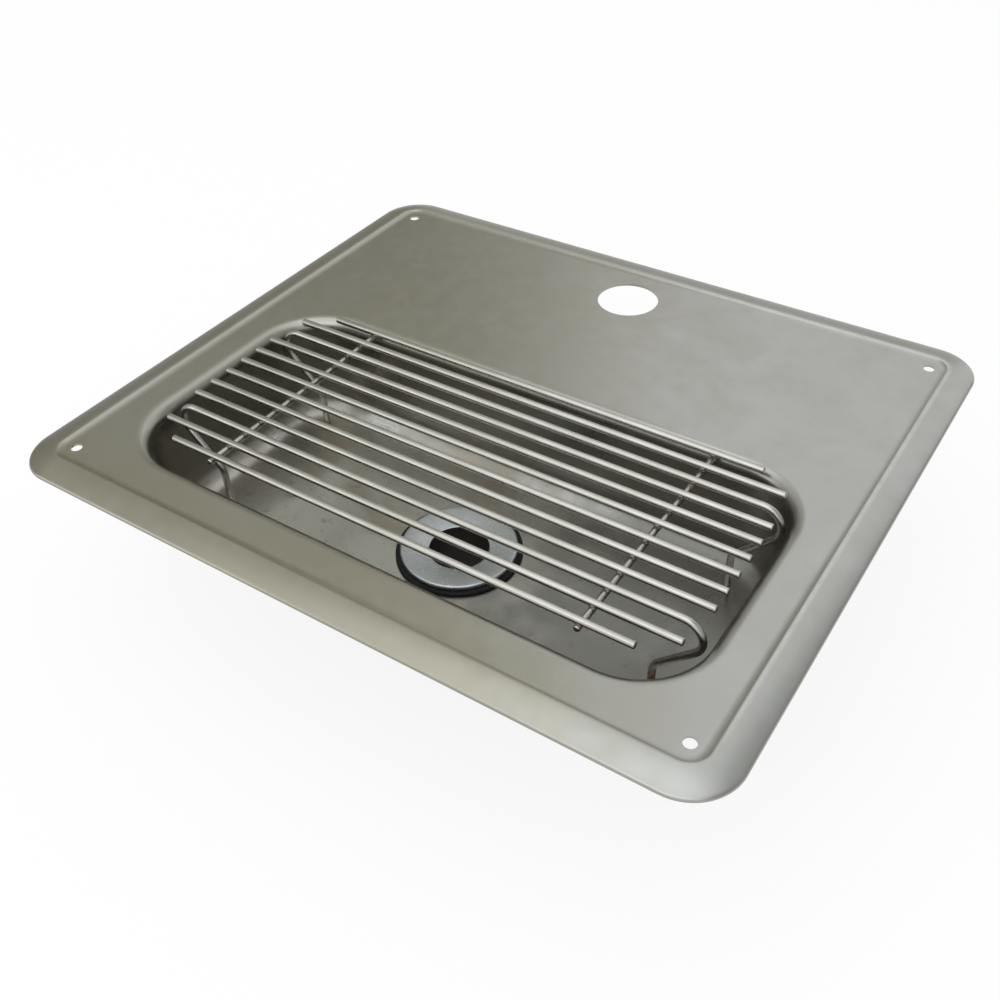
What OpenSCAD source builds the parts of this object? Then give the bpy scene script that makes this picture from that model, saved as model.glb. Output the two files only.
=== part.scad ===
// Drop-in glass filler sink: a pressed stainless pan with a shallow bowl, a welded
// wire rack that stands in the bowl and lifts out, and a drain with its hidden fixings.
// The origin is midway between the four screw holes, on the top face of the deck.
// X runs left to right, Y runs front to back, Z points up. All lengths are millimetres.

/* [Deck] */
// Width of the pan over its rim, left to right
rim_width = 419.1; // [405:0.1:440]
// Depth of the pan over its rim, front to back
rim_depth = 361.5; // [345:0.1:380]
// Radius of the rim's corners, at its outer edge
rim_corner_r = 26.5; // [24:0.5:32]
// Thickness of the stainless sheet
sheet = 1.2; // [0.8:0.1:1.6]

/* [Rim bead] */
// Radius of the hollow where the flat deck turns up into the bead
bead_foot_r = 3; // [2.5:0.5:5]
// Radius over the bead's crown
bead_crown_r = 15; // [12:0.5:18]
// Radius of the turned-down edge
bead_edge_r = 1.8; // [1.7:0.1:4]
// Steepest slope of the bead towards the deck, in degrees
bead_rise = 21; // [16:1:24]
// Slope where the crown meets the turned-down edge, in degrees
bead_fall = 39; // [30:1:44]

/* [Bowl] */
// Width of the bowl's mouth, where the deck starts to turn down
mouth_width = 353; // [335:1:357]
// Depth of the mouth, front to back
mouth_depth = 173; // [168:1:176]
// Radius of the mouth's corners
mouth_corner_r = 46; // [42:1:52]
// How far the middle of the bowl lies in front of the origin
bowl_forward = 59; // [56:1:61]
// Depth of the bowl, from the deck's top face to the floor's top face
bowl_depth = 63.5; // [55:0.5:90]
// Radius of the roll from the deck into the bowl
roll_r = 8; // [5:0.5:9]
// Radius of the turn from the wall into the floor
bottom_r = 14; // [8:1:16]
// Draft of the bowl's wall, in degrees
wall_draft = 4; // [2:0.5:6]

/* [Holes in the deck] */
// Diameter of the hole for the filler faucet
faucet_hole_d = 38.1; // [30:0.1:42]
// How far the faucet hole lies behind the origin
faucet_back = 133.35; // [115:0.05:138]
// Diameter of the four screw holes
screw_hole_d = 6.35; // [4:0.05:8]
// Distance between the screw holes, left to right
screw_span_x = 368.3; // [360:0.1:376]
// Distance between the screw holes, front to back
screw_span_y = 308.5; // [302:0.1:316]

/* [Rack] */
// Diameter of the rack's bars
bar_d = 4; // [3:0.1:5]
// Distance between neighbouring bars
bar_spacing = 12.7; // [11:0.1:13]
// Height of the bars' axes over the deck's top face
bar_height = 2; // [0:0.5:8]
// Gap between the mouth's edge and the ends of the straight bars in the middle
bar_gap = 13.75; // [12:0.25:30]
// The same gap at the second bar from the front and from the back
second_bar_gap = 17.5; // [14:0.5:32]
// The same gap at the front and the back bar, which clear the mouth's corners
end_bar_gap = 34.5; // [30:0.5:48]
// How far the middle of the rack lies behind the middle of the bowl
rack_back = 7; // [1:0.5:8]
// Bevel on the cut ends of the wires
wire_bevel = 0.5; // [0.2:0.1:0.8]
// Diameter of the two cross wires
cross_d = 3.6; // [2.8:0.1:4.4]
// Gap between the mouth's edge and the axes of the two cross wires
cross_gap = 63; // [52:1:90]
// How far a cross wire reaches past the axis of the last bar
cross_overhang = 3; // [1:0.5:5]
// How far the welds have set the bars into the cross wires
weld_depth = 0.3; // [0.1:0.1:0.6]

/* [Legs] */
// Gap between the mouth's edge and the axes of the leg bars' end bends
leg_gap = 13.5; // [13:0.5:17]
// Radius of the bend at each end of a leg bar
leg_bend_r = 11; // [8:0.5:13]
// Slope of the leg below its end bend, in degrees
leg_slope = 45; // [40:1:50]
// Gap between the mouth's edge and the axes of the feet
foot_gap = 37; // [34.5:0.5:42]
// Radius of the bend above each foot
foot_bend_r = 10; // [7:0.5:12]
// How much thinner the wire has drawn where it is bent
bend_thinning = 0.05; // [0.02:0.01:0.1]

/* [Drain] */
// Diameter of the drain's flange
flange_d = 66.7; // [60:0.1:70]
// Thickness of the flange at its lip
flange_t = 2.8; // [2.2:0.1:4]
// Thickness of the metal in the middle of the dish
dish_t = 1.1; // [0.8:0.1:1.6]
// Width of the flange's raised lip
lip_w = 2.4; // [1.6:0.1:4]
// Radius on the edge of the lip and of the throat
lip_r = 1; // [0.5:0.1:1.2]
// Diameter of the waterway
throat_d = 33.3; // [28:0.1:34]
// Diameter of the shank that carries the locknut
shank_d = 41.9; // [40:0.1:44]
// Length of the shank below the flange
shank_length = 25; // [23:0.5:40]
// Diameter of the tail that a slip-joint nut closes on
tail_d = 38.1; // [37:0.1:39]
// Length of the tail
tail_length = 24; // [15:0.5:40]
// Bevel on the open end of the tail
tail_bevel = 1; // [0.4:0.1:1.5]
// Bevel under the edge of the flange
flange_bevel = 0.5; // [0.2:0.1:0.8]

/* [Drain seals and nut] */
// Diameter of the black gasket under the flange
top_gasket_d = 72; // [70.5:0.5:80]
// Thickness of the black gasket under the flange
top_gasket_t = 2; // [1:0.1:3]
// Diameter of the gasket under the floor
low_gasket_d = 64; // [58:0.5:70]
// Thickness of the gasket under the floor
low_gasket_t = 3; // [2:0.1:4]
// Diameter of the friction washer
washer_d = 62; // [56:0.5:70]
// Thickness of the friction washer
washer_t = 0.8; // [0.5:0.1:1.2]
// Diameter of the locknut's face
nut_face_d = 60; // [54:0.5:66]
// Thickness of the locknut's face
nut_face_t = 2.5; // [2:0.1:4]
// Diameter of the locknut's barrel
nut_barrel_d = 52; // [50:0.5:54]
// Height of the locknut
nut_height = 9; // [7:0.5:11]
// Number of lugs round the locknut
nut_lugs = 6; // [4:1:8]
// Width of a lug
lug_w = 7; // [5:0.5:9]

/* [Clearances] */
// Gap between the floor's drain hole and the shank, all round
hole_gap = 1; // [0.5:0.1:2]
// Gap between the seals and the shank, all round
seal_gap = 0.3; // [0.2:0.1:0.5]
// Gap between the locknut and the shank, all round
nut_gap = 0.15; // [0.1:0.05:0.3]

/* [Hidden] */
$fn = 64;
// Every cut runs past the faces that it opens by this much
cut_over = 1;
// A straight stretch of a leg runs this far into the bends at its ends
bend_lap = 0.2;
// Straight steps along the round stretches of the pan's section and of the drain's
foot_steps = 2;
crown_steps = 8;
edge_steps = 4;
turn_steps = 6;
dish_steps = 6;

// The bars are counted from the back, and two of them carry the legs
bar_count = 12;
leg_bars = [2, 9];
first_bar_node = 8;

// Rim: how wide the bead is, how high its crown stands and how low its edge reaches
bead_rise_w = bead_foot_r * sin(bead_rise);
bead_crown_x = bead_rise_w + bead_crown_r * sin(bead_rise);
bead_edge_x = bead_crown_x + bead_crown_r * sin(bead_fall);
bead_w = bead_edge_x + bead_edge_r * (1 - sin(bead_fall));
bead_crown_z = (bead_foot_r + bead_crown_r) * (1 - cos(bead_rise));
bead_crown_centre_z = bead_crown_z - bead_crown_r;
bead_edge_centre_x = bead_w - bead_edge_r;
rim_low_z = bead_crown_centre_z + (bead_crown_r - bead_edge_r) * cos(bead_fall);

// Bowl: length of the straight wall, and how far the floor's flat lies inside the mouth
wall_length = (bowl_depth - (roll_r + bottom_r) * (1 - sin(wall_draft))) / cos(wall_draft);
floor_inset = (roll_r + bottom_r) * cos(wall_draft) + wall_length * sin(wall_draft);
floor_z = -bowl_depth;
wall_low_x = roll_r * cos(wall_draft) + wall_length * sin(wall_draft);
wall_low_z = -roll_r * (1 - sin(wall_draft)) - wall_length * cos(wall_draft);

// Drain: heights of its faces
flange_low_z = floor_z + top_gasket_t;
under_floor_z = floor_z - sheet;
washer_top_z = under_floor_z - low_gasket_t;
nut_top_z = washer_top_z - washer_t;
seal_bore_d = shank_d + 2 * seal_gap;

// Rack: how long its bars are and how far it stands in front of the origin. The cross
// wires lie under the bars, sunk into them by the weld.
bar_length = mouth_width - 2 * bar_gap;
second_bar_length = mouth_width - 2 * second_bar_gap;
end_bar_length = mouth_width - 2 * end_bar_gap;
cross_span = mouth_width - 2 * cross_gap;
rack_forward = bowl_forward - rack_back;
cross_z = bar_height - bar_d / 2 - cross_d / 2 + weld_depth;
rack_depth = (bar_count - 1) * bar_spacing;

// Leg: centre of its end bend, and lengths of its slope and its foot
bend_x = mouth_width / 2 - leg_gap - leg_bend_r;
bend_z = bar_height - leg_bend_r;
foot_x = mouth_width / 2 - foot_gap;
slope_reach = bend_x + leg_bend_r * sin(leg_slope) - foot_x - foot_bend_r * (1 - sin(leg_slope));
slope_length = slope_reach / cos(leg_slope);
leg_drop = (leg_bend_r + foot_bend_r) * cos(leg_slope) + slope_length * sin(leg_slope);
foot_length = bend_z - leg_drop - floor_z;

// Points of a round stretch about a centre, from one angle to another
function arc(x, y, r, from, to, steps) =
    [for (i = [0:steps]) let (a = from + (to - from) * i / steps) [x + r * cos(a), y + r * sin(a)]];

// One face of the rim's bead, followed from the deck to the edge. The depth is how far
// the face lies under the top face, so it is zero for the top and the sheet for the underside.
function bead_face(depth) = concat(
    arc(0, bead_foot_r, bead_foot_r + depth, -90, bead_rise - 90, foot_steps),
    arc(bead_crown_x, bead_crown_centre_z, bead_crown_r - depth, 90 + bead_rise, 90 - bead_fall, crown_steps),
    arc(bead_edge_centre_x, rim_low_z, bead_edge_r - depth, 90 - bead_fall, 0, edge_steps)
);

// One face of the bowl's side, followed from the mouth down to the floor. It is drawn
// with its distance inside the mouth as x, and with the same depth as the bead.
function bowl_face(depth) = concat(
    arc(0, -roll_r, roll_r - depth, 90, wall_draft, turn_steps),
    arc(wall_low_x + bottom_r * cos(wall_draft), wall_low_z + bottom_r * sin(wall_draft),
        bottom_r + depth, 180 + wall_draft, 270, turn_steps)
);

// Section of the rim, measured from the axis of its corner: flat deck, then the bead
module rim_section() {
    inner = rim_corner_r - bead_w;
    top = [for (p = bead_face(0)) [p[0] + inner, p[1]]];
    low = [for (p = bead_face(sheet)) [p[0] + inner, p[1]]];
    polygon(concat([[0, 0]], top, [for (i = [len(low) - 1:-1:0]) low[i]], [[0, -sheet]]));
}

// Section of the bowl, measured from the axis of its corner: roll, wall, turn, flat floor
module bowl_section() {
    top = [for (p = bowl_face(0)) [mouth_corner_r - p[0], p[1]]];
    low = [for (p = bowl_face(sheet)) [mouth_corner_r - p[0], p[1]]];
    polygon(concat(top, [[0, floor_z], [0, floor_z - sheet]], [for (i = [len(low) - 1:-1:0]) low[i]]));
}

// Sweeps a section round a rectangle with round corners. The section's x is its distance
// from the axis of a corner.
module swept_round(width, depth, corner) {
    for (quarter = [0:3]) {
        right = quarter == 0 || quarter == 3 ? 1 : -1;
        back = quarter < 2 ? 1 : -1;
        side = quarter % 2 == 0 ? depth : width;
        translate([right * (width / 2 - corner), back * (depth / 2 - corner), 0])
            rotate([0, 0, quarter * 90]) {
                rotate_extrude(angle = 90) children();
                rotate([90, 0, 0]) linear_extrude(side - 2 * corner) children();
            }
    }
}

// Flat rectangle with round corners
module round_rectangle(width, depth, corner) {
    square([width - 2 * corner, depth], center = true);
    square([width, depth - 2 * corner], center = true);
    for (right = [-1, 1], back = [-1, 1])
        translate([right * (width / 2 - corner), back * (depth / 2 - corner)]) circle(corner);
}

// Ring from one diameter to another, standing on a height
module ring(outer, inner, low, height) {
    translate([0, 0, low]) difference() {
        cylinder(d = outer, h = height);
        translate([0, 0, -cut_over]) cylinder(d = inner, h = height + 2 * cut_over);
    }
}

// Places its children on the axis of the drain, in the middle of the bowl
module at_drain() {
    translate([0, -bowl_forward, 0]) children();
}

// Deck between the corners of the rim, open over the bowl's mouth
module deck_plate() {
    translate([0, 0, -sheet]) linear_extrude(sheet) difference() {
        square([rim_width - 2 * rim_corner_r, rim_depth - 2 * rim_corner_r], center = true);
        translate([0, -bowl_forward]) round_rectangle(mouth_width, mouth_depth, mouth_corner_r);
    }
}

// Floor between the corners of the bowl
module floor_plate() {
    translate([0, -bowl_forward, floor_z - sheet / 2])
        cube([mouth_width - 2 * mouth_corner_r, mouth_depth - 2 * mouth_corner_r, sheet], center = true);
}

// Pressed pan: rim, deck and bowl in one sheet, with its holes
module sink_pan() {
    color([0.62, 0.62, 0.58]) difference() {
        union() {
            swept_round(rim_width, rim_depth, rim_corner_r) rim_section();
            deck_plate();
            translate([0, -bowl_forward, 0]) swept_round(mouth_width, mouth_depth, mouth_corner_r) bowl_section();
            floor_plate();
        }
        translate([0, faucet_back, -sheet - cut_over]) cylinder(d = faucet_hole_d, h = sheet + 2 * cut_over);
        for (right = [-1, 1], back = [-1, 1])
            translate([right * screw_span_x / 2, back * screw_span_y / 2, -sheet - cut_over])
                cylinder(d = screw_hole_d, h = sheet + 2 * cut_over);
        at_drain() translate([0, 0, floor_z - sheet - cut_over])
            cylinder(d = shank_d + 2 * hole_gap, h = sheet + 2 * cut_over);
    }
}

// Dished flange, throat, shank and tail, turned from one piece
module drain_body() {
    lip_top_z = flange_low_z + flange_t;
    dish_out = flange_d / 2 - lip_w;
    dish_in = throat_d / 2 + lip_r;
    dish_low_z = flange_low_z + dish_t;
    shank_low_z = flange_low_z - shank_length;
    tail_low_z = shank_low_z - tail_length;
    dish = [for (i = [0:dish_steps]) let (share = 1 - i / dish_steps)
        [dish_in + (dish_out - dish_in) * share, dish_low_z + (lip_top_z - dish_low_z) * share * share]];
    color([0.62, 0.65, 0.67]) at_drain() rotate_extrude() polygon(concat(
        [[throat_d / 2, tail_low_z], [tail_d / 2 - tail_bevel, tail_low_z], [tail_d / 2, tail_low_z + tail_bevel]],
        [[tail_d / 2, shank_low_z], [shank_d / 2, shank_low_z], [shank_d / 2, flange_low_z]],
        [[flange_d / 2 - flange_bevel, flange_low_z], [flange_d / 2, flange_low_z + flange_bevel]],
        arc(flange_d / 2 - lip_r, lip_top_z - lip_r, lip_r, 0, 90, edge_steps),
        dish,
        arc(throat_d / 2 + lip_r, dish_low_z - lip_r, lip_r, 90, 180, edge_steps)
    ));
}

// Black rubber ring between the flange and the bowl's floor
module drain_top_gasket() {
    color([0.05, 0.05, 0.06]) at_drain() ring(top_gasket_d, seal_bore_d, floor_z, top_gasket_t);
}

// Rubber ring under the bowl's floor
module drain_low_gasket() {
    color([0.08, 0.08, 0.08]) at_drain() ring(low_gasket_d, seal_bore_d, washer_top_z, low_gasket_t);
}

// Fibre washer that lets the locknut slip on the gasket
module drain_friction_washer() {
    color([0.55, 0.42, 0.28]) at_drain() ring(washer_d, seal_bore_d, nut_top_z, washer_t);
}

// Cast locknut with lugs for a spanner
module drain_locknut() {
    color([0.66, 0.66, 0.64]) at_drain() translate([0, 0, nut_top_z - nut_height]) difference() {
        union() {
            cylinder(d = nut_barrel_d, h = nut_height);
            translate([0, 0, nut_height - nut_face_t]) cylinder(d = nut_face_d, h = nut_face_t);
            intersection() {
                cylinder(d = nut_face_d, h = nut_height);
                for (lug = [0:nut_lugs - 1]) rotate([0, 0, lug * 360 / nut_lugs])
                    translate([0, -lug_w / 2, 0]) cube([nut_face_d, lug_w, nut_height]);
            }
        }
        translate([0, 0, -cut_over]) cylinder(d = shank_d + 2 * nut_gap, h = nut_height + 2 * cut_over);
    }
}

// Straight wire along X with bevelled ends
module straight_wire(length, diameter) {
    radius = diameter / 2;
    half = length / 2;
    rotate([0, 90, 0]) rotate_extrude() polygon([
        [0, -half], [radius - wire_bevel, -half], [radius, wire_bevel - half],
        [radius, half - wire_bevel], [radius - wire_bevel, half], [0, half]
    ]);
}

// Right-hand leg of a leg bar: end bend, slope, foot bend and foot. Each stretch is drawn
// in the frame of the one before it, and each straight one runs a little into the bends.
module leg() {
    bent_d = bar_d - bend_thinning;
    translate([bend_x, 0, bend_z]) rotate([90, 0, 0]) rotate([0, 0, leg_slope - 90]) {
        rotate_extrude(angle = 180 - leg_slope) translate([leg_bend_r, 0]) circle(d = bent_d);
        translate([leg_bend_r, bend_lap, 0]) rotate([90, 0, 0]) cylinder(d = bar_d, h = slope_length + 2 * bend_lap);
        translate([leg_bend_r + foot_bend_r, -slope_length, 0]) {
            rotate([0, 0, 180]) rotate_extrude(angle = 90 - leg_slope) translate([foot_bend_r, 0]) circle(d = bent_d);
            rotate([0, 0, 270 - leg_slope]) translate([foot_bend_r, -bend_lap, 0]) rotate([-90, 0, 0]) {
                cylinder(d = bar_d, h = foot_length + bend_lap - wire_bevel);
                translate([0, 0, foot_length + bend_lap - wire_bevel])
                    cylinder(d1 = bar_d, d2 = bar_d - 2 * wire_bevel, h = wire_bevel);
            }
        }
    }
}

// Bar that bends down at both ends into a leg
module leg_bar() {
    half = bend_x + bend_lap;
    translate([-half, 0, bar_height]) rotate([0, 90, 0]) cylinder(d = bar_d, h = 2 * half);
    leg();
    mirror([1, 0, 0]) leg();
}

// One bar of the rack, counted from the back
module rack_bar(number) {
    from_end = min(number, bar_count - 1 - number);
    plain_length = from_end == 0 ? end_bar_length : from_end == 1 ? second_bar_length : bar_length;
    is_leg = len(search(number, leg_bars)) > 0;
    color([0.84, 0.83, 0.79]) translate([0, rack_depth / 2 - rack_forward - number * bar_spacing, 0]) {
        if (is_leg) leg_bar();
        else translate([0, 0, bar_height]) straight_wire(plain_length, bar_d);
    }
}

// One cross wire, on the left with -1 and on the right with 1
module cross_wire(right) {
    color([0.80, 0.79, 0.75]) translate([right * cross_span / 2, -rack_forward, cross_z])
        rotate([0, 0, 90]) straight_wire(rack_depth + 2 * cross_overhang, cross_d);
}

sink_pan();
drain_body();
drain_top_gasket();
drain_low_gasket();
drain_friction_washer();
drain_locknut();
cross_wire(-1);  // cross_wire_left
cross_wire(1);  // cross_wire_right
for (number = [0:bar_count - 1])
    rack_bar(number);
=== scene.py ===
# Looks of the glass filler sink: pressed pan, welded wire rack and drain.
# Everything is in metres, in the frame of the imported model.
import bpy
from math import sin, cos, tan, radians, pi
from mathutils import Matrix, Vector


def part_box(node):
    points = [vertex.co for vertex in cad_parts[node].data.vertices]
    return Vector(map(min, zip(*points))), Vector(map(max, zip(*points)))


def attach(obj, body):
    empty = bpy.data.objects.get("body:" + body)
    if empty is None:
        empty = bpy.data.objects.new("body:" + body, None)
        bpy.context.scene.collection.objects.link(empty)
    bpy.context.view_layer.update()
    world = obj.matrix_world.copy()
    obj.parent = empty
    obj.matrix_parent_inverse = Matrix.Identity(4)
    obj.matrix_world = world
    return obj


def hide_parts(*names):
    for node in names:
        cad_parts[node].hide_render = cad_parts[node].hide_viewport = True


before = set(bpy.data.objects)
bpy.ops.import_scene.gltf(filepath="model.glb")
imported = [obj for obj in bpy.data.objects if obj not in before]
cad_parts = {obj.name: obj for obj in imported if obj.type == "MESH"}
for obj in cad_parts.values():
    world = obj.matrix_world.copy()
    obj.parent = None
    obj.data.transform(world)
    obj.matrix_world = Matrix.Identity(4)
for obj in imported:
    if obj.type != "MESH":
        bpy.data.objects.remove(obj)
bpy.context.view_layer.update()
mm = 0.001

# The camera stands where the photograph was taken from
view = {
    "target": (37.0 * mm, -70.2 * mm, 0),
    "distance": 564.2 * mm,
    "azimuth": radians(34.855),
    "elevation": radians(41.118),
    "roll": radians(2.26),
    "lens": 40.12,  # on a 36 mm sensor
}


def addCamera():
    data = bpy.data.cameras.new("photoCamera")
    data.lens = view["lens"]
    data.sensor_width = 36
    data.clip_start = 0.01
    camera = bpy.data.objects.new("photoCamera", data)
    bpy.context.scene.collection.objects.link(camera)
    away = Vector((
        cos(view["elevation"]) * sin(view["azimuth"]),
        -cos(view["elevation"]) * cos(view["azimuth"]),
        sin(view["elevation"]),
    ))
    camera.location = Vector(view["target"]) + away * view["distance"]
    turn = away.to_track_quat("Z", "Y").to_matrix() @ Matrix.Rotation(-view["roll"], 3, "Z")
    camera.rotation_euler = turn.to_euler()
    bpy.context.scene.camera = camera


addCamera()
print("camera is in place")


# Modelling helpers

def pickNothing():
    if bpy.context.object and bpy.context.object.mode != "OBJECT":
        bpy.ops.object.mode_set(mode="OBJECT")
    bpy.ops.object.select_all(action="DESELECT")


def pick(piece):
    pickNothing()
    piece.select_set(True)
    bpy.context.view_layer.objects.active = piece


# Selects the vertices that pass the test, in edit mode
def selectPoints(piece, test):
    bpy.ops.mesh.select_all(action="DESELECT")
    bpy.ops.object.mode_set(mode="OBJECT")
    for vertex in piece.data.vertices:
        vertex.select = test(vertex.co)
    bpy.ops.object.mode_set(mode="EDIT")


# A copy with a mesh of its own, moved along by the shift
def copyPiece(piece, name, shift):
    copy = piece.copy()
    copy.data = piece.data.copy()
    copy.name = copy.data.name = name
    bpy.context.scene.collection.objects.link(copy)
    pick(copy)
    bpy.ops.object.mode_set(mode="EDIT")
    bpy.ops.mesh.select_all(action="SELECT")
    bpy.ops.transform.translate(value=shift)
    bpy.ops.object.mode_set(mode="OBJECT")
    return copy


# Takes the primitive that was just added, puts its place into its mesh and opens it for editing
def startPiece(name):
    piece = bpy.context.object
    piece.name = piece.data.name = name
    bpy.ops.object.transform_apply(location=True, rotation=True, scale=True)
    bpy.ops.object.mode_set(mode="EDIT")
    return piece


def applyModifier(piece, kind, **settings):
    modifier = piece.modifiers.new(kind.title(), kind)
    for name, value in settings.items():
        setattr(modifier, name, value)
    bpy.ops.object.modifier_apply(modifier=modifier.name)


def closeMesh():
    bpy.ops.mesh.select_all(action="SELECT")
    bpy.ops.mesh.remove_doubles(threshold=0.002 * mm)
    bpy.ops.mesh.normals_make_consistent(inside=False)
    bpy.ops.object.mode_set(mode="OBJECT")


def smoothShade(angle=35):
    bpy.ops.object.shade_smooth_by_angle(angle=radians(angle))


def finishPiece(piece, body, slot, material, *nodes):
    piece.data.materials.clear()
    piece.data.materials.append(material)
    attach(piece, body)
    if nodes:
        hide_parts(*nodes)


# Points (outwards, up) of a round stretch, with angles in degrees
def arcPoints(centre, radius, start, end, steps):
    angles = [radians(start + (end - start) * i / steps) for i in range(steps + 1)]
    return [(centre[0] + radius * cos(a), centre[1] + radius * sin(a)) for a in angles]


# A ring of points about the drain's axis, extruded and scaled along a closed profile of (radius, height)
def turnProfile(name, profile, segments=96):
    pickNothing()
    radius, height = profile[0]
    bpy.ops.mesh.primitive_circle_add(vertices=segments, radius=radius, location=(0, drainY, height))
    piece = startPiece(name)
    bpy.ops.mesh.select_all(action="SELECT")
    for nextRadius, nextHeight in profile[1:] + profile[:1]:
        bpy.ops.mesh.extrude_region_move(TRANSFORM_OT_translate={"value": (0, 0, nextHeight - height)})
        share = nextRadius / radius
        bpy.ops.transform.resize(value=(share, share, 1), center_override=(0, drainY, nextHeight))
        radius, height = nextRadius, nextHeight
    closeMesh()
    return piece


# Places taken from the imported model
drainLow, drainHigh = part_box("drain_body")
drainY = (drainLow.y + drainHigh.y) / 2
panLow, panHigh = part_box("sink_pan")
barCount = 12


# Shader node helpers

def newMaterial(name):
    material = bpy.data.materials.new(name)
    material.use_nodes = True
    tree = material.node_tree
    return material, tree, tree.nodes["Principled BSDF"]


def addNode(tree, kind, **settings):
    node = tree.nodes.new(kind)
    for name, value in settings.items():
        if name in node.inputs:
            node.inputs[name].default_value = value
        else:
            setattr(node, name, value)
    return node


def newGroup(name, inputs, outputs):
    group = bpy.data.node_groups.new(name, "ShaderNodeTree")
    for socket, kind, value in inputs:
        made = group.interface.new_socket(socket, in_out="INPUT", socket_type=kind)
        if value is not None:
            made.default_value = value
    for socket, kind in outputs:
        group.interface.new_socket(socket, in_out="OUTPUT", socket_type=kind)
    return group, group.nodes.new("NodeGroupInput"), group.nodes.new("NodeGroupOutput")


def useGroup(tree, group, **values):
    node = tree.nodes.new("ShaderNodeGroup")
    node.node_tree = group
    for name, value in values.items():
        node.inputs[name].default_value = value
    return node


def mathNode(tree, operation, a=None, b=None, c=None, clamp=False):
    node = tree.nodes.new("ShaderNodeMath")
    node.operation = operation
    node.use_clamp = clamp
    for socket, value in zip(node.inputs, (a, b, c)):
        if value is None:
            continue
        if isinstance(value, bpy.types.NodeSocket):
            tree.links.new(value, socket)
        else:
            socket.default_value = value
    return node.outputs[0]


def mapRange(tree, value, fromMin, fromMax, toMin, toMax, smooth=False):
    node = tree.nodes.new("ShaderNodeMapRange")
    node.interpolation_type = "SMOOTHSTEP" if smooth else "LINEAR"
    tree.links.new(value, node.inputs["Value"])
    node.inputs["From Min"].default_value = fromMin
    node.inputs["From Max"].default_value = fromMax
    node.inputs["To Min"].default_value = toMin
    node.inputs["To Max"].default_value = toMax
    return node.outputs["Result"]


def mixColour(tree, share, a, b, kind="MIX"):
    node = tree.nodes.new("ShaderNodeMix")
    node.data_type = "RGBA"
    node.blend_type = kind
    for index, value in ((0, share), (6, a), (7, b)):
        if isinstance(value, bpy.types.NodeSocket):
            tree.links.new(value, node.inputs[index])
        elif isinstance(value, tuple):
            node.inputs[index].default_value = (*value, 1)
        else:
            node.inputs[index].default_value = value
    return node.outputs[2]


def objectPoint(tree):
    return tree.nodes.new("ShaderNodeTexCoord").outputs["Object"]


def scalePoint(tree, point, scale):
    node = tree.nodes.new("ShaderNodeMapping")
    node.inputs["Scale"].default_value = scale
    tree.links.new(point, node.inputs["Vector"])
    return node.outputs["Vector"]


# Soft clouds, as satin steel shows where it was pickled, wiped and handled
def makeClouding():
    group, given, result = newGroup(
        "clouding",
        [
            ("Point", "NodeSocketVector", None),
            ("Size", "NodeSocketFloat", 60.0),
            ("Detail", "NodeSocketFloat", 3.0),
        ],
        [("Clouds", "NodeSocketFloat"), ("Patches", "NodeSocketFloat")],
    )
    wide = addNode(group, "ShaderNodeTexNoise", Roughness=0.55, Distortion=0.6)
    fine = addNode(group, "ShaderNodeTexNoise", Roughness=0.6)
    for noise in (wide, fine):
        group.links.new(given.outputs["Point"], noise.inputs["Vector"])
        group.links.new(given.outputs["Detail"], noise.inputs["Detail"])
    group.links.new(given.outputs["Size"], wide.inputs["Scale"])
    group.links.new(mathNode(group, "MULTIPLY", given.outputs["Size"], 4.3), fine.inputs["Scale"])
    group.links.new(mapRange(group, wide.outputs[0], 0.3, 0.7, 0, 1, True), result.inputs["Clouds"])
    group.links.new(mapRange(group, fine.outputs[0], 0.35, 0.75, 0, 1, True), result.inputs["Patches"])
    return group


# Fine scratches that run one way: the point is stretched before it comes in
def makeGrain():
    group, given, result = newGroup(
        "grain",
        [("Point", "NodeSocketVector", None), ("Density", "NodeSocketFloat", 900.0)],
        [("Height", "NodeSocketFloat"), ("Tone", "NodeSocketFloat")],
    )
    lines = addNode(group, "ShaderNodeTexNoise", Detail=4.0, Roughness=0.7)
    marks = addNode(group, "ShaderNodeTexNoise", Detail=2.0, Roughness=0.5)
    for noise in (lines, marks):
        group.links.new(given.outputs["Point"], noise.inputs["Vector"])
    group.links.new(given.outputs["Density"], lines.inputs["Scale"])
    group.links.new(mathNode(group, "MULTIPLY", given.outputs["Density"], 0.17), marks.inputs["Scale"])
    group.links.new(lines.outputs[0], result.inputs["Height"])
    group.links.new(mapRange(group, marks.outputs[0], 0.3, 0.7, 0, 1), result.inputs["Tone"])
    return group


clouding = makeClouding()
grain = makeGrain()


# Pan: satin pressed sheet, warmer along the front, with painted light that turns it lighter and cooler to the
# right, painted shade darkening the roll and walls inside the bowl, and a painted highlight along the crest
panLook = {
    "plain": (0.405, 0.403, 0.366),
    "warm": (0.375, 0.363, 0.298),
    "litRightTone": (0.442, 0.448, 0.43),
    "dull": (0.345, 0.335, 0.28),
    "crestHighlight": (0.54, 0.545, 0.52),
    "floorLight": (0.58, 0.585, 0.55),
    "floorBrown": (0.385, 0.345, 0.27),
    "floorDull": (0.25, 0.25, 0.235),
    # wall: painted shade for the roll and the walls inside the bowl
    "wall": (0.255, 0.24, 0.205),
    "grime": (0.12, 0.10, 0.08),
    "under": (0.37, 0.365, 0.335),
    "underDull": (0.32, 0.315, 0.29),
    "roughness": (0.29, 0.37),
    "bowlRoughness": (0.24, 0.40),
}


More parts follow.
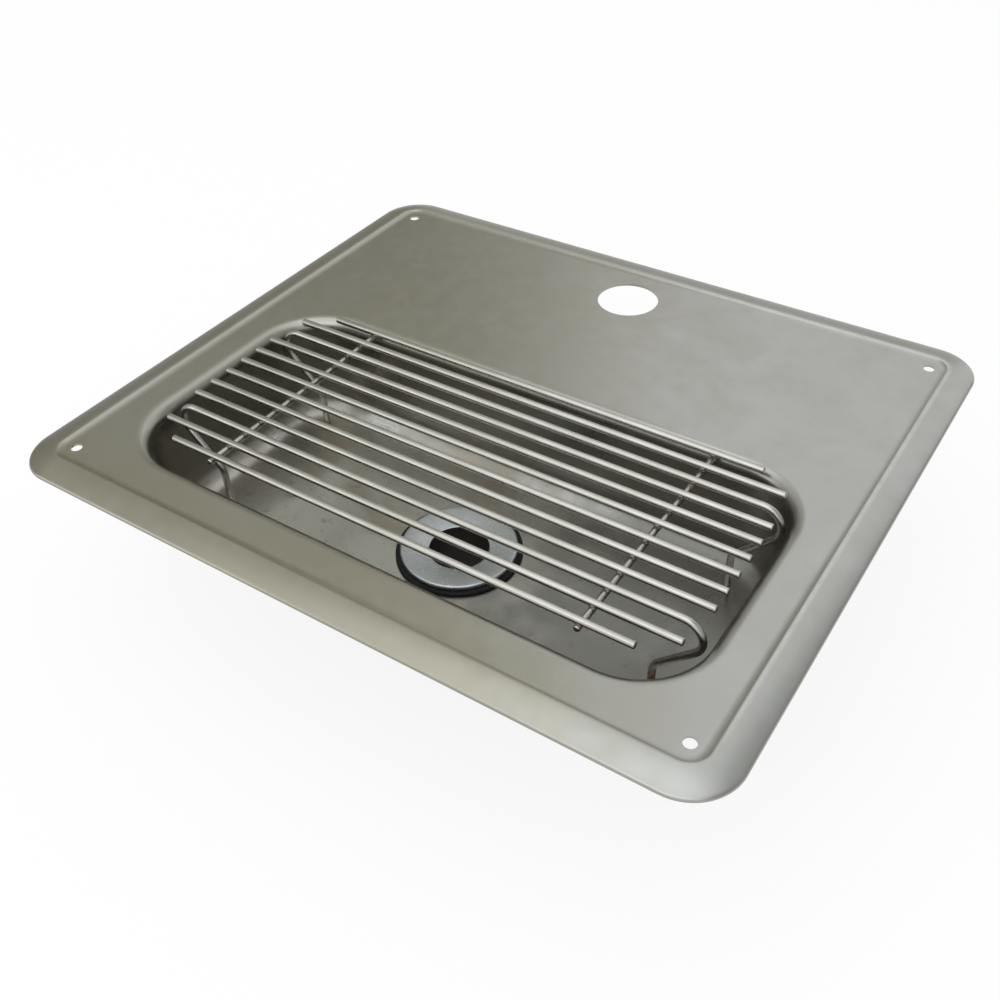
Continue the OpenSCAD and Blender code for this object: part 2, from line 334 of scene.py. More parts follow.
def makePanSteel():
    material, tree, shader = newMaterial("satinPanSteel")
    links = tree.links
    point = objectPoint(tree)
    height = tree.nodes.new("ShaderNodeSeparateXYZ")
    links.new(point, height.inputs["Vector"])
    inBowl = mapRange(tree, height.outputs["Z"], -0.3 * mm, -7 * mm, 0, 1, True)
    onCrest = mapRange(tree, height.outputs["Z"], 0.98 * mm, 1.22 * mm, 0, 1, True)
    lowDown = mapRange(tree, height.outputs["Z"], -44 * mm, -62.5 * mm, 0, 1, True)
    wide = useGroup(tree, clouding, Size=6.5, Detail=2.0)
    small = useGroup(tree, clouding, Size=24.0, Detail=4.0)
    bowl = useGroup(tree, clouding, Size=17.0, Detail=3.0)
    for group in (wide, small, bowl):
        links.new(point, group.inputs["Point"])
    front = mapRange(tree, height.outputs["Y"], -110 * mm, -165 * mm, 0, 0.7, True)
    warmth = mathNode(tree, "MULTIPLY_ADD", wide.outputs["Clouds"], 0.45, front, clamp=True)
    tone = mixColour(tree, warmth, panLook["plain"], panLook["warm"])
    # painted light: the deck is made lighter and cooler towards the right, where the lights fall
    drift = mathNode(tree, "MULTIPLY_ADD", height.outputs["Y"], 0.35, height.outputs["X"])
    drift = mathNode(tree, "MULTIPLY_ADD", wide.outputs["Patches"], 60 * mm, drift)
    drift = mapRange(tree, drift, 10 * mm, 170 * mm, 0, 1, True)  # painted light: lighter and cooler towards the right
    tone = mixColour(tree, drift, tone, panLook["litRightTone"])
    dull = mapRange(tree, small.outputs["Clouds"], 0.1, 1, 0, 0.25)
    tone = mixColour(tree, dull, tone, panLook["dull"])
    # painted highlight: a patchy lighter band along the bead's crest
    patchy = mapRange(tree, small.outputs["Patches"], 0, 1, 0.9, 0.45)
    onCrest = mathNode(tree, "MULTIPLY", onCrest, patchy)
    # the painted highlight on the crest is left off along the front
    worn = mapRange(tree, height.outputs["Y"], -160 * mm, -120 * mm, 0, 1, True)
    tone = mixColour(tree, mathNode(tree, "MULTIPLY", onCrest, worn), tone, panLook["crestHighlight"])
    stains = mapRange(tree, bowl.outputs["Clouds"], 0.2, 0.9, 0, 0.8)
    floorTone = mixColour(tree, stains, panLook["floorLight"], panLook["floorBrown"])
    # the bowl's floor turns darker and greyer towards the right
    film = mathNode(tree, "MULTIPLY_ADD", wide.outputs["Patches"], 60 * mm, height.outputs["X"])
    film = mapRange(tree, film, -10 * mm, 115 * mm, 0, 0.9, True)
    floorTone = mixColour(tree, film, floorTone, panLook["floorDull"])
    # painted shade: the roll and walls inside the bowl are darkened, easing into the floor's own stained tone
    # lower down
    bowlTone = mixColour(tree, lowDown, panLook["wall"], floorTone)
    tone = mixColour(tree, inBowl, tone, bowlTone)
    dirt = useGroup(tree, clouding, Size=42.0, Detail=5.0)
    links.new(point, dirt.inputs["Point"])
    specks = mapRange(tree, dirt.outputs["Patches"], 0.7, 1, 0, 0.35)
    specks = mathNode(tree, "MULTIPLY", specks, lowDown)
    tone = mixColour(tree, specks, tone, panLook["grime"])
    facing = tree.nodes.new("ShaderNodeSeparateXYZ")  # the underside was never wiped or worn
    links.new(tree.nodes.new("ShaderNodeTexCoord").outputs["Normal"], facing.inputs["Vector"])
    below = mapRange(tree, facing.outputs["Z"], 0.02, -0.02, 0, 1)
    underTone = mixColour(tree, small.outputs["Clouds"], panLook["under"], panLook["underDull"])
    tone = mixColour(tree, below, tone, underTone)
    links.new(tone, shader.inputs["Base Color"])
    shader.inputs["Metallic"].default_value = 1
    low, high = panLook["roughness"]
    deckRough = mapRange(tree, small.outputs["Patches"], 0, 1, low, high)
    low, high = panLook["bowlRoughness"]
    bowlRough = mapRange(tree, bowl.outputs["Clouds"], 0, 1, low, high)
    rough = mathNode(tree, "SUBTRACT", bowlRough, deckRough)
    rough = mathNode(tree, "MULTIPLY_ADD", inBowl, rough, deckRough)
    rough = mathNode(tree, "MULTIPLY_ADD", below, 0.08, rough)
    links.new(rough, shader.inputs["Roughness"])
    lines = useGroup(tree, grain, Density=900.0)
    links.new(scalePoint(tree, point, (0.1, 1, 1)), lines.inputs["Point"])
    bump = addNode(tree, "ShaderNodeBump", Strength=0.04, Distance=0.06 * mm)
    links.new(lines.outputs["Height"], bump.inputs["Height"])
    links.new(bump.outputs["Normal"], shader.inputs["Normal"])
    return material


# Rack: drawn wire, brighter than the pan, with rust starting at a weld and at two feet
wireLook = {
    "colour": (0.51, 0.505, 0.47),
    "shade": (0.45, 0.44, 0.40),
    "rust": (0.26, 0.11, 0.032),
    # scale: weld heat tint, also painted shade where the wires cross
    "scale": (0.34, 0.30, 0.255),
    "roughness": (0.26, 0.36),
    # x, y, z and reach, in mm
    "rustSpots": ((113.5, -7.5, -2.6, 5.5), (139.5, -96.45, -47, 12.0), (-139.5, -7.5, -62, 6.0)),
}


def makeRust(tree, point):
    total = None
    for x, y, z, reach in wireLook["rustSpots"]:
        apart = tree.nodes.new("ShaderNodeVectorMath")
        apart.operation = "DISTANCE"
        tree.links.new(point, apart.inputs[0])
        apart.inputs[1].default_value = (x * mm, y * mm, z * mm)
        near = mapRange(tree, apart.outputs["Value"], reach * mm, 0, 0, 1)
        total = near if total is None else mathNode(tree, "MAXIMUM", total, near)
    patchy = addNode(tree, "ShaderNodeTexNoise", Scale=900.0, Detail=4.0, Roughness=0.7)
    tree.links.new(point, patchy.inputs["Vector"])
    total = mathNode(tree, "MULTIPLY", total, mapRange(tree, patchy.outputs[0], 0.35, 0.65, 0, 2.2))
    return mathNode(tree, "MINIMUM", total, 1.0)


# Heat tint round the welds, with painted shade where the bars cross the cross wires: near the cross wires, and
# near a bar along them
def makeWeldTint(tree, point):
    parts = tree.nodes.new("ShaderNodeSeparateXYZ")
    tree.links.new(point, parts.inputs[0])
    first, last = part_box("rack_bar_12"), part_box("rack_bar_01")
    start = (first[0].y + first[1].y) / 2
    spacing = ((last[0].y + last[1].y) / 2 - start) / (barCount - 1)
    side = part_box("cross_wire_right")
    across = mathNode(tree, "ABSOLUTE", parts.outputs["X"])
    across = mathNode(tree, "SUBTRACT", across, (side[0].x + side[1].x) / 2)
    across = mapRange(tree, mathNode(tree, "ABSOLUTE", across), 2.0 * mm, 5.0 * mm, 1, 0, True)
    along = mathNode(tree, "DIVIDE", mathNode(tree, "SUBTRACT", parts.outputs["Y"], start), spacing)
    along = mathNode(tree, "PINGPONG", along, 0.5)
    along = mapRange(tree, along, 0.10, 0.22, 1, 0, True)
    low = mapRange(tree, parts.outputs["Z"], 0.2 * mm, 1.6 * mm, 1, 0, True)
    return mathNode(tree, "MULTIPLY", mathNode(tree, "MULTIPLY", across, along), low)


def makeWireSteel():
    material, tree, shader = newMaterial("drawnWire")
    links = tree.links
    point = objectPoint(tree)
    clouds = useGroup(tree, clouding, Size=30.0, Detail=2.0)
    links.new(point, clouds.inputs["Point"])
    rust = makeRust(tree, point)
    tone = mixColour(tree, clouds.outputs["Clouds"], wireLook["colour"], wireLook["shade"])
    # heat tint and painted shade at each crossing of a bar and a cross wire
    tone = mixColour(tree, makeWeldTint(tree, point), tone, wireLook["scale"])
    links.new(mixColour(tree, rust, tone, wireLook["rust"]), shader.inputs["Base Color"])
    links.new(mathNode(tree, "SUBTRACT", 1.0, rust), shader.inputs["Metallic"])
    low, high = wireLook["roughness"]
    rough = mapRange(tree, clouds.outputs["Patches"], 0, 1, low, high)
    links.new(mathNode(tree, "MULTIPLY_ADD", rust, 0.5, rough, clamp=True), shader.inputs["Roughness"])
    lines = useGroup(tree, grain, Density=2600.0)
    links.new(scalePoint(tree, point, (0.06, 1, 1)), lines.inputs["Point"])
    bump = addNode(tree, "ShaderNodeBump", Strength=0.05, Distance=0.04 * mm)
    links.new(lines.outputs["Height"], bump.inputs["Height"])
    links.new(bump.outputs["Normal"], shader.inputs["Normal"])
    return material


# Drain: turned steel, a little blue, with the marks of the lathe; painted shade, a near-black brown, inside
# the throat
drainLook = {
    "colour": (0.59, 0.63, 0.655),
    "shade": (0.45, 0.485, 0.505),
    "throatShade": (0.022, 0.015, 0.010),
    "roughness": (0.24, 0.40),
}


def makeDrainSteel():
    material, tree, shader = newMaterial("turnedSteel")
    links = tree.links
    point = objectPoint(tree)
    centred = tree.nodes.new("ShaderNodeVectorMath")
    centred.operation = "SUBTRACT"
    links.new(point, centred.inputs[0])
    centred.inputs[1].default_value = (0, drainY, 0)
    parts = tree.nodes.new("ShaderNodeSeparateXYZ")
    links.new(centred.outputs[0], parts.inputs[0])
    x, y, z = (parts.outputs[axis] for axis in "XYZ")
    square = mathNode(tree, "ADD", mathNode(tree, "MULTIPLY", x, x), mathNode(tree, "MULTIPLY", y, y))
    radius = mathNode(tree, "SQRT", square)
    angle = mathNode(tree, "ARCTAN2", y, x)
    around = tree.nodes.new("ShaderNodeCombineXYZ")
    links.new(mathNode(tree, "COSINE", angle), around.inputs["X"])
    links.new(mathNode(tree, "SINE", angle), around.inputs["Y"])
    links.new(mathNode(tree, "MULTIPLY", radius, 9.0), around.inputs["Z"])
    streaks = addNode(tree, "ShaderNodeTexNoise", Scale=5.5, Detail=3.0, Roughness=0.6)
    links.new(around.outputs[0], streaks.inputs["Vector"])
    clouds = useGroup(tree, clouding, Size=34.0, Detail=3.0)
    links.new(point, clouds.inputs["Point"])
    share = mapRange(tree, streaks.outputs[0], 0.38, 0.66, 0, 1, True)
    share = mathNode(tree, "MULTIPLY", share, 0.25)
    share = mathNode(tree, "MULTIPLY_ADD", clouds.outputs["Clouds"], 0.4, share)
    tone = mixColour(tree, share, drainLook["colour"], drainLook["shade"])
    # painted shade: the throat's inside is a near-black brown and not metal
    inside = mapRange(tree, radius, 17.25 * mm, 16.9 * mm, 0, 1, True)
    links.new(mixColour(tree, inside, tone, drainLook["throatShade"]), shader.inputs["Base Color"])
    links.new(mathNode(tree, "SUBTRACT", 1.0, inside), shader.inputs["Metallic"])
    low, high = drainLook["roughness"]
    rough = mapRange(tree, share, 0, 1, low, high)
    links.new(mathNode(tree, "MULTIPLY_ADD", inside, 0.35, rough), shader.inputs["Roughness"])
    turned = tree.nodes.new("ShaderNodeCombineXYZ")
    links.new(radius, turned.inputs["X"])
    links.new(z, turned.inputs["Z"])
    lines = useGroup(tree, grain, Density=2200.0)
    links.new(turned.outputs[0], lines.inputs["Point"])
    bump = addNode(tree, "ShaderNodeBump", Strength=0.07, Distance=0.04 * mm)
    links.new(lines.outputs["Height"], bump.inputs["Height"])
    links.new(bump.outputs["Normal"], shader.inputs["Normal"])
    return material


# Seals and nut: moulded rubber with a dusty bloom, pressed fibre, sand-cast zinc
sealLook = {"black": (0.005, 0.005, 0.006), "bloom": (0.014, 0.014, 0.013), "roughness": (0.6, 0.85)}
fibreLook = {"pale": (0.40, 0.29, 0.18), "dark": (0.22, 0.145, 0.085), "roughness": (0.75, 0.92)}
zincLook = {"bright": (0.50, 0.51, 0.52), "dark": (0.27, 0.27, 0.27), "roughness": (0.36, 0.58)}
weldLook = {"grey": (0.30, 0.28, 0.255), "burnt": (0.15, 0.12, 0.095), "roughness": (0.34, 0.6)}


# Two colours by clouds of one size, fine grain of another, and a bump from the grain
def makeGrained(name, colours, roughness, cloudSize, grainSize, metallic, bumpDepth):
    material, tree, shader = newMaterial(name)
    links = tree.links
    point = objectPoint(tree)
    clouds = useGroup(tree, clouding, Size=cloudSize, Detail=4.0)
    fine = useGroup(tree, grain, Density=grainSize)
    links.new(point, clouds.inputs["Point"])
    links.new(point, fine.inputs["Point"])
    share = mathNode(tree, "MULTIPLY", fine.outputs["Tone"], 0.4)
    share = mathNode(tree, "MULTIPLY_ADD", clouds.outputs["Clouds"], 0.6, share)
    links.new(mixColour(tree, share, *colours), shader.inputs["Base Color"])
    links.new(mapRange(tree, clouds.outputs["Patches"], 0, 1, *roughness), shader.inputs["Roughness"])
    shader.inputs["Metallic"].default_value = metallic
    shader.inputs["Specular IOR Level"].default_value = 0.3
    bump = addNode(tree, "ShaderNodeBump", Strength=0.35, Distance=bumpDepth)
    links.new(fine.outputs["Height"], bump.inputs["Height"])
    links.new(bump.outputs["Normal"], shader.inputs["Normal"])
    return material


panSteel = makePanSteel()
wireSteel = makeWireSteel()
drainSteel = makeDrainSteel()
rubber = makeGrained(
    "blackRubber", (sealLook["black"], sealLook["bloom"]), sealLook["roughness"], 120.0, 1500.0, 0, 0.05 * mm)
fibre = makeGrained(
    "fibreBoard", (fibreLook["pale"], fibreLook["dark"]), fibreLook["roughness"], 160.0, 1800.0, 0, 0.12 * mm)
zinc = makeGrained(
    "castZinc", (zincLook["bright"], zincLook["dark"]), zincLook["roughness"], 90.0, 1400.0, 1, 0.10 * mm)
weldSteel = makeGrained(
    "weldScale", (weldLook["grey"], weldLook["burnt"]), weldLook["roughness"], 700.0, 3000.0, 1, 0.06 * mm)
print("materials are made")

# The pressed pan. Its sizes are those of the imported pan.
pan = {
    "width": panHigh.x - panLow.x,
    "depth": panHigh.y - panLow.y,
    "corner": 26.5 * mm,
    "sheet": 1.2 * mm,
    "footRadius": 9 * mm,
    "shoulderRadius": 2.6 * mm,
    "slopeRadius": 55 * mm,
    "edgeRadius": 1.8 * mm,
    "rise": 27,
    "crest": 6,
    "fall": 20.3,
    "mouthWidth": 353 * mm,
    "mouthDepth": 173 * mm,
    "mouthCorner": 46 * mm,
    "bowlY": drainY,
    "bowlDepth": 63.5 * mm,
    "rollRadius": 8 * mm,
    "turnRadius": 14 * mm,
    "draft": 4,
    "cornerSteps": 24,
    "edgeSteps": 6,
    "beadSteps": 10,
    "bowlSteps": 14,
    "supportGap": 1 * mm,
}
deckHoles = {
    "faucet": (0, 133.35 * mm, 38.1 * mm),
    "screwSpan": (368.3 * mm, 308.5 * mm),
    "screw": 6.35 * mm,
    "drain": 43.9 * mm,
    "reach": 5 * mm,
    "sides": 96,
}


# The rim's top face as (distance inside the outer edge, height), from the edge to the flat
# deck: a hollow foot, a tight shoulder, then a long slope down to the edge
def beadProfile():
    rise, crest, fall = radians(pan["rise"]), radians(pan["crest"]), radians(pan["fall"])
    foot, shoulder, slope, edge = (pan[key + "Radius"] for key in ("foot", "shoulder", "slope", "edge"))
    steps = pan["beadSteps"]
    shoulderX, shoulderZ = (foot + shoulder) * sin(rise), foot - (foot + shoulder) * cos(rise)
    slopeX = shoulderX - (slope - shoulder) * sin(crest)
    slopeZ = shoulderZ - (slope - shoulder) * cos(crest)
    edgeX, edgeZ = slopeX + (slope - edge) * sin(fall), slopeZ + (slope - edge) * cos(fall)
    width = edgeX + edge
    points = arcPoints((edgeX, edgeZ), edge, 0, 90 - pan["fall"], pan["edgeSteps"])
    points += arcPoints((slopeX, slopeZ), slope, 90 - pan["fall"], 90 - pan["crest"], steps)[1:]
    points += arcPoints((shoulderX, shoulderZ), shoulder, 90 - pan["crest"], 90 + pan["rise"], steps)[1:]
    points += arcPoints((0, foot), foot, pan["rise"] - 90, -90, steps)[1:]
    return [(width - x, z) for x, z in points]


# The bowl's inner face as (distance inside the mouth, height), from the deck to the floor
def bowlProfile():
    roll, turn, draft = pan["rollRadius"], pan["turnRadius"], radians(pan["draft"])
    wall = (pan["bowlDepth"] - (roll + turn) * (1 - sin(draft))) / cos(draft)
    lowX = roll * cos(draft) + wall * sin(draft)
    lowZ = -roll * (1 - sin(draft)) - wall * cos(draft)
    points = arcPoints((0, -roll), roll, 90, pan["draft"], pan["bowlSteps"])
    centre = (lowX + turn * cos(draft), lowZ + turn * sin(draft))
    points += arcPoints(centre, turn, 180 + pan["draft"], 270, pan["bowlSteps"])
    return points


# Rectangle with round corners, as one face that is left selected
def addRoundFace(width, depth, corner, y, height):
    bpy.ops.mesh.primitive_plane_add(size=1, location=(0, y, height))
    if bpy.context.object.mode == "OBJECT":
        startPiece("pressedPan")
        bpy.ops.mesh.select_all(action="SELECT")
    bpy.ops.transform.resize(value=(width, depth, 1), center_override=(0, y, height))
    bpy.ops.mesh.bevel(
        offset=corner, segments=pan["cornerSteps"], profile=0.5, affect="VERTICES", clamp_overlap=False)


def insetAlong(profile):
    for (x, z), (nextX, nextZ) in zip(profile, profile[1:]):
        bpy.ops.mesh.inset(thickness=nextX - x, depth=nextZ - z, use_even_offset=True)


def makePan():
    pickNothing()
    bead = beadProfile()
    addRoundFace(pan["width"], pan["depth"], pan["corner"], 0, bead[0][1])
    piece = bpy.context.object
    insetAlong(bead + [(bead[-1][0] + pan["supportGap"], 0)])
    bpy.ops.mesh.delete(type="ONLY_FACE")
    gap = pan["supportGap"]
    width, depth = pan["mouthWidth"] + 2 * gap, pan["mouthDepth"] + 2 * gap
    addRoundFace(width, depth, pan["mouthCorner"] + gap, pan["bowlY"], 0)
    bowl = bowlProfile()
    insetAlong([(-gap, 0)] + bowl + [(bowl[-1][0] + gap, -pan["bowlDepth"])])
    bpy.ops.object.mode_set(mode="OBJECT")
    uses = {}
    for face in piece.data.polygons:
        for key in face.edge_keys:
            uses[key] = uses.get(key, 0) + 1
    pickNothing()
    bpy.context.view_layer.objects.active = piece
    bpy.ops.object.mode_set(mode="EDIT")
    bpy.ops.mesh.select_all(action="DESELECT")
    bpy.ops.mesh.select_mode(type="EDGE")
    bpy.ops.object.mode_set(mode="OBJECT")
    height = [v.co.z for v in piece.data.vertices]
    for edge in piece.data.edges:
        low, high = edge.vertices
        flat = abs(height[low]) < 0.01 * mm and abs(height[high]) < 0.01 * mm
        edge.select = flat and uses.get(tuple(sorted((low, high))), 0) == 1
    bpy.ops.object.mode_set(mode="EDIT")
    bpy.ops.mesh.bridge_edge_loops()
    bpy.ops.mesh.select_mode(type="VERT")
    closeMesh()
    pick(piece)
    applyModifier(piece, "SOLIDIFY", thickness=pan["sheet"], offset=-1, use_even_offset=True)
    cutDeckHoles(piece)
    pick(piece)
    smoothShade(30)
    return piece


def cutDeckHoles(piece):
    pickNothing()
    cutters = []
    spanX, spanY = deckHoles["screwSpan"]
    places = [(x * spanX / 2, y * spanY / 2, 0, deckHoles["screw"]) for x in (-1, 1) for y in (-1, 1)]
    places.append((*deckHoles["faucet"][:2], 0, deckHoles["faucet"][2]))
    places.append((0, drainY, -pan["bowlDepth"], deckHoles["drain"]))
    for x, y, z, across in places:
        bpy.ops.mesh.primitive_cylinder_add(
            vertices=deckHoles["sides"], radius=across / 2, depth=deckHoles["reach"], location=(x, y, z))
        cutters.append(bpy.context.object)
    for cutter in cutters:
        pick(piece)
        applyModifier(piece, "BOOLEAN", operation="DIFFERENCE", object=cutter, solver="EXACT")
        bpy.data.objects.remove(cutter)


finishPiece(makePan(), "sink", "pan_steel", panSteel, "sink_pan")
print("pan is pressed")

# Rack: drawn wire, cut to three lengths, with two bars bent into legs
rack = {
    "barWire": 4 * mm,
    "crossWire": 3.6 * mm,
    "legBars": (3, 10),
    "bendRadius": 11 * mm,
    "footBend": 10 * mm,
    "bendSteps": 20,
    "footSteps": 8,
    "footAcross": 279 * mm,
    "slope": 45,
    "sides": 28,
    # (mm along the wire, share of the radius)
    "endDome": ((0, 0.35), (0.07, 0.62), (0.2, 0.82), (0.42, 0.95), (0.75, 1)),
    "weldSize": (4.1 * mm, 3.9 * mm, 1.3 * mm),
    # the lip and the shoulders of the nugget: how far from its middle, as shares of its height
    "weldWaist": 0.15,
    "weldShoulder": 0.4,
    "weldLip": (1.1, 1.12, 0.6),
    "weldFlat": (1.2, 1.2, 0.9),
    "weldSink": 0.33 * mm,
}


def addWireEnd(name, radius, place, along):
    pickNothing()
    bpy.ops.mesh.primitive_circle_add(
        vertices=rack["sides"], radius=radius * rack["endDome"][0][1], fill_type="NGON", location=place,
        rotation=Vector(along).to_track_quat("Z", "Y").to_euler())
    piece = startPiece(name)
    bpy.ops.mesh.select_all(action="SELECT")
    growEnd(place, along, rack["endDome"])
    return piece


# Pushes the selected end on along the wire, widening it into the end's dome
def growEnd(place, along, dome):
    flat = tuple(0 if abs(part) > 0.5 else 1 for part in along)
    for (far, share), (nextFar, nextShare) in zip(dome, dome[1:]):
        pushEnd(along, (nextFar - far) * mm)
        grow = nextShare / share
        centre = Vector(place) + Vector(along) * nextFar * mm
        bpy.ops.transform.resize(value=[grow if part else 1 for part in flat], center_override=centre)


def pushEnd(along, length):
    bpy.ops.mesh.extrude_region_move(TRANSFORM_OT_translate={"value": Vector(along) * length})


def closeEnd(place, along):
    dome = [(rack["endDome"][-1][0] - far, share) for far, share in reversed(rack["endDome"])]
    growEnd(place, along, dome)


def domeLength():
    return rack["endDome"][-1][0] * mm


def makeStraightWire(name, node, radius, along):
    low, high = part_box(node)
    centre = (low + high) / 2
    half = Vector(along) * (high - low).dot(Vector(along)) / 2
    start = centre - half
    piece = addWireEnd(name, radius, start, along)
    pushEnd(along, 2 * half.length - 2 * domeLength())
    closeEnd(start + Vector(along) * (2 * half.length - domeLength()), along)
    closeMesh()
    smoothShade(40)
    return piece


# Copies a wire to another node's place, and draws its two halves out to that node's length
def copyWire(piece, name, node):
    low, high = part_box(node)
    oldLow, oldHigh, oldY = wireReach(piece)
    copy = copyPiece(piece, name, (0, (low.y + high.y) / 2 - oldY, 0))
    bpy.ops.object.mode_set(mode="EDIT")
    selectPoints(copy, lambda point: point.x < 0)
    bpy.ops.transform.translate(value=(low.x - oldLow, 0, 0))
    selectPoints(copy, lambda point: point.x > 0)
    bpy.ops.transform.translate(value=(high.x - oldHigh, 0, 0))
    bpy.ops.object.mode_set(mode="OBJECT")
    return copy


def wireReach(piece):
    points = [vertex.co for vertex in piece.data.vertices]
    return min(p.x for p in points), max(p.x for p in points), sum(p.y for p in points) / len(points)


# A leg bar: up from one foot, out along the slope, round the end bend, across and down again
def makeLegBar(name, node):
    low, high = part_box(node)
    y, radius = (low.y + high.y) / 2, rack["barWire"] / 2
    bend, footBend, slope = rack["bendRadius"], rack["footBend"], radians(rack["slope"])
    barZ, bendX, footX = high.z - radius, high.x - radius - bend, rack["footAcross"] / 2
    bendZ = barZ - bend
    reach = bendX + bend * sin(slope) - footX - footBend * (1 - sin(slope))
    footTop = bendZ - (bend + footBend) * cos(slope) - reach * tan(slope)
    start, upward = Vector((-footX, y, low.z)), Vector((0, 0, 1))
    piece = addWireEnd(name, radius, start, upward)
    pushEnd(upward, footTop - low.z - domeLength())
    turnEnd((-footX - footBend, y, footTop), -rack["slope"], rack["footSteps"])
    pushEnd((-cos(slope), 0, sin(slope)), reach / cos(slope))
    turnEnd((-bendX, y, bendZ), 180 - rack["slope"], rack["bendSteps"])
    pushEnd((1, 0, 0), 2 * bendX)
    turnEnd((bendX, y, bendZ), 180 - rack["slope"], rack["bendSteps"])
    pushEnd((-cos(slope), 0, -sin(slope)), reach / cos(slope))
    turnEnd((footX + footBend, y, footTop), -rack["slope"], rack["footSteps"])
    pushEnd(-upward, footTop - low.z - domeLength())
    closeEnd(Vector((footX, y, low.z + domeLength())), -upward)
    closeMesh()
    smoothShade(40)
    return piece


def turnEnd(centre, angle, steps):
    bpy.ops.mesh.spin(steps=steps, angle=radians(angle), center=centre, axis=(0, -1, 0))


def makeRack():
    first = makeStraightWire("rackBar01", "rack_bar_01", rack["barWire"] / 2, (1, 0, 0))
    finishPiece(first, "rack", "rack_wire", wireSteel, "rack_bar_01")
    firstLeg, lastLeg = rack["legBars"]
    for number in range(2, barCount + 1):
        name, node = f"rackBar{number:02d}", f"rack_bar_{number:02d}"
        if number == firstLeg:
            bar = legBar = makeLegBar(name, node)
        elif number == lastLeg:
            bar = copyPiece(legBar, name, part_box(node)[0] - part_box(f"rack_bar_{firstLeg:02d}")[0])
        else:
            bar = copyWire(first, name, node)
        finishPiece(bar, "rack", "rack_wire", wireSteel, node)
    left = makeStraightWire("crossWireLeft", "cross_wire_left", rack["crossWire"] / 2, (0, 1, 0))
    finishPiece(left, "rack", "rack_wire", wireSteel, "cross_wire_left")
    right = copyPiece(left, "crossWireRight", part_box("cross_wire_right")[0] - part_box("cross_wire_left")[0])
    finishPiece(right, "rack", "rack_wire", wireSteel, "cross_wire_right")
    addWelds()


# The nugget of a resistance weld: a lens of metal, squeezed out to a lip where the wires met
def makeWeld(name, centre):
    pickNothing()
    bpy.ops.mesh.primitive_uv_sphere_add(segments=24, ring_count=12, radius=0.5, location=centre)
    weld = startPiece(name)
    bpy.ops.mesh.select_all(action="SELECT")
    bpy.ops.transform.resize(value=rack["weldSize"], center_override=centre)
    height = rack["weldSize"][2]
    selectPoints(weld, lambda point: abs(point.z - centre.z) < rack["weldWaist"] * height)
    bpy.ops.transform.resize(value=rack["weldLip"], center_override=centre)
    selectPoints(weld, lambda point: abs(point.z - centre.z) > rack["weldShoulder"] * height)
    bpy.ops.transform.resize(value=rack["weldFlat"], center_override=centre)
    bpy.ops.object.mode_set(mode="OBJECT")
    smoothShade(60)
    return weld


def addWelds():
    firstWeld = None
    for side in ("left", "right"):
        low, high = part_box("cross_wire_" + side)
        for number in range(1, barCount + 1):
            barLow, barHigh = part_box(f"rack_bar_{number:02d}")
            centre = Vector(((low.x + high.x) / 2, (barLow.y + barHigh.y) / 2, high.z - rack["weldSink"]))
            name = f"weld{side.title()}{number:02d}"
            if firstWeld is None:
                weld = firstWeld = makeWeld(name, centre)
                firstCentre = centre
            else:
                weld = copyPiece(firstWeld, name, centre - firstCentre)
            finishPiece(weld, "rack", "rack_wire", weldSteel)


makeRack()
print("rack is welded")

# Drain: a dished flange with its threaded shank and slip-joint tail, turned from one piece
drain = {
    "flange": 66.7 * mm,
    "edgeRadius": 1.2 * mm,
    "flangeHeight": 2.8 * mm,
    "dish": 1.1 * mm,
    "dishSteps": 12,
    "dishCurve": 1.4,
    "throat": 33.3 * mm,
    "shank": 41.9 * mm,
    "shankLength": 25 * mm,
    "tail": 38.1 * mm,
    "threadPitch": 2.2 * mm,
    "threadDepth": 0.95 * mm,
    "threadFoot": 0.46,  # half of its foot and half of its crest, as shares of the pitch
    "threadCrest": 0.07,
    "threadSink": 0.1 * mm,
    "threadTop": -66 * mm,
    "threadLow": -85.6 * mm,
    "sealGap": 0.3 * mm,
}


def drainProfile():
    top = drainHigh.z
    base = top - drain["flangeHeight"]
    outer, edge = drain["flange"] / 2, drain["edgeRadius"]
    throat, shank, tail = drain["throat"] / 2, drain["shank"] / 2, drain["tail"] / 2
    floor = base + drain["dish"]
    core = shank - drain["threadDepth"]
    shankLow = base - drain["shankLength"]
    points = [(outer - 0.5 * mm, base), (outer, base + 0.5 * mm)]
    points += arcPoints((outer - edge, top - edge), edge, 0, 90, 5)
    reach = outer - edge - throat - edge
    for i in range(1, drain["dishSteps"] + 1):
        share = i / drain["dishSteps"]
        points.append((outer - edge - reach * share, top - (top - floor) * share ** drain["dishCurve"]))
    points += arcPoints((throat + edge, floor - edge), edge, 90, 180, 6)[1:]
    points += [(throat, base - 3 * mm), (throat, shankLow), (throat, drainLow.z + 0.3 * mm)]
    points += [(throat + 0.3 * mm, drainLow.z), (tail - 1 * mm, drainLow.z), (tail, drainLow.z + 1 * mm)]
    points += [(tail, shankLow - 0.6 * mm), (tail - 0.4 * mm, shankLow - 0.2 * mm)]
    points += [(tail - 0.4 * mm, shankLow)]
    points += [(core - 0.6 * mm, shankLow), (core, shankLow + 0.6 * mm), (core, base - 4 * mm)]
    points += [(shank, base - 3.4 * mm), (shank, base)]
    return points


